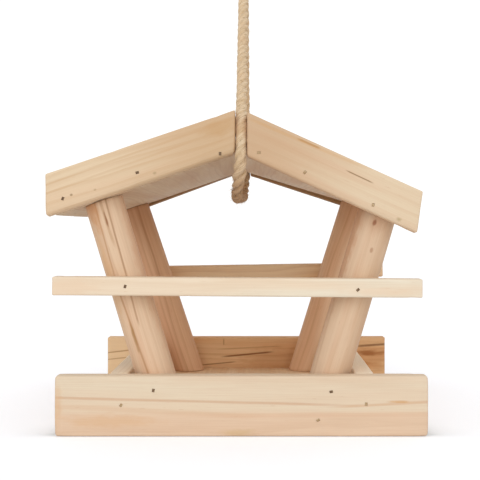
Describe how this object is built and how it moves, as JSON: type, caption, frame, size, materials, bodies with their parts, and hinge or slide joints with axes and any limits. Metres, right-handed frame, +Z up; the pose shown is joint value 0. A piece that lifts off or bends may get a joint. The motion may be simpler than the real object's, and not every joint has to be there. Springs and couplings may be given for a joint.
{
  "type": "hanging bird feeder",
  "caption": "Open wooden bird feeder: a nailed tray, splayed round posts, side rails and a low ridged roof, hung on a twisted rope.",
  "frame": {"origin": "middle of the tray's flat underside", "axes": "+Z up, +X across the front to the viewer's right, +Y from the front to the back; the ridge runs along Y"},
  "size_m": [0.205, 0.2, 0.3006],
  "materials": {
    "pine_board": "sanded, unfinished pine",
    "pine_panel": "sanded, unfinished pine",
    "pine_post": "turned, unfinished pine",
    "rope": "matt natural fibre",
    "brad_steel": "dull, darkened steel"
  },
  "bodies": {
    "root": {"tray_floor": "pine_panel", "tray_front_board": "pine_board", "tray_back_board": "pine_board", "tray_left_board": "pine_board", "tray_right_board": "pine_board", "post_front_left": "pine_post", "post_front_right": "pine_post", "post_back_left": "pine_post", "post_back_right": "pine_post", "rail_front": "pine_board", "rail_back": "pine_board", "roof_panel_left": "pine_panel", "roof_panel_right": "pine_panel", "gable_front_left": "pine_board", "gable_front_right": "pine_board", "gable_back_left": "pine_board", "gable_back_right": "pine_board", "hanging_rope": "rope", "rope_knot": "rope", "brads_tray_front": "brad_steel", "brads_tray_back": "brad_steel", "brads_tray_sides": "brad_steel", "brads_rails": "brad_steel", "brads_gables_front": "brad_steel", "brads_gables_back": "brad_steel", "brads_roof_to_posts": "brad_steel", "brads_ridge": "brad_steel", "brads_post_feet": "brad_steel"}
  },
  "joints": []
}
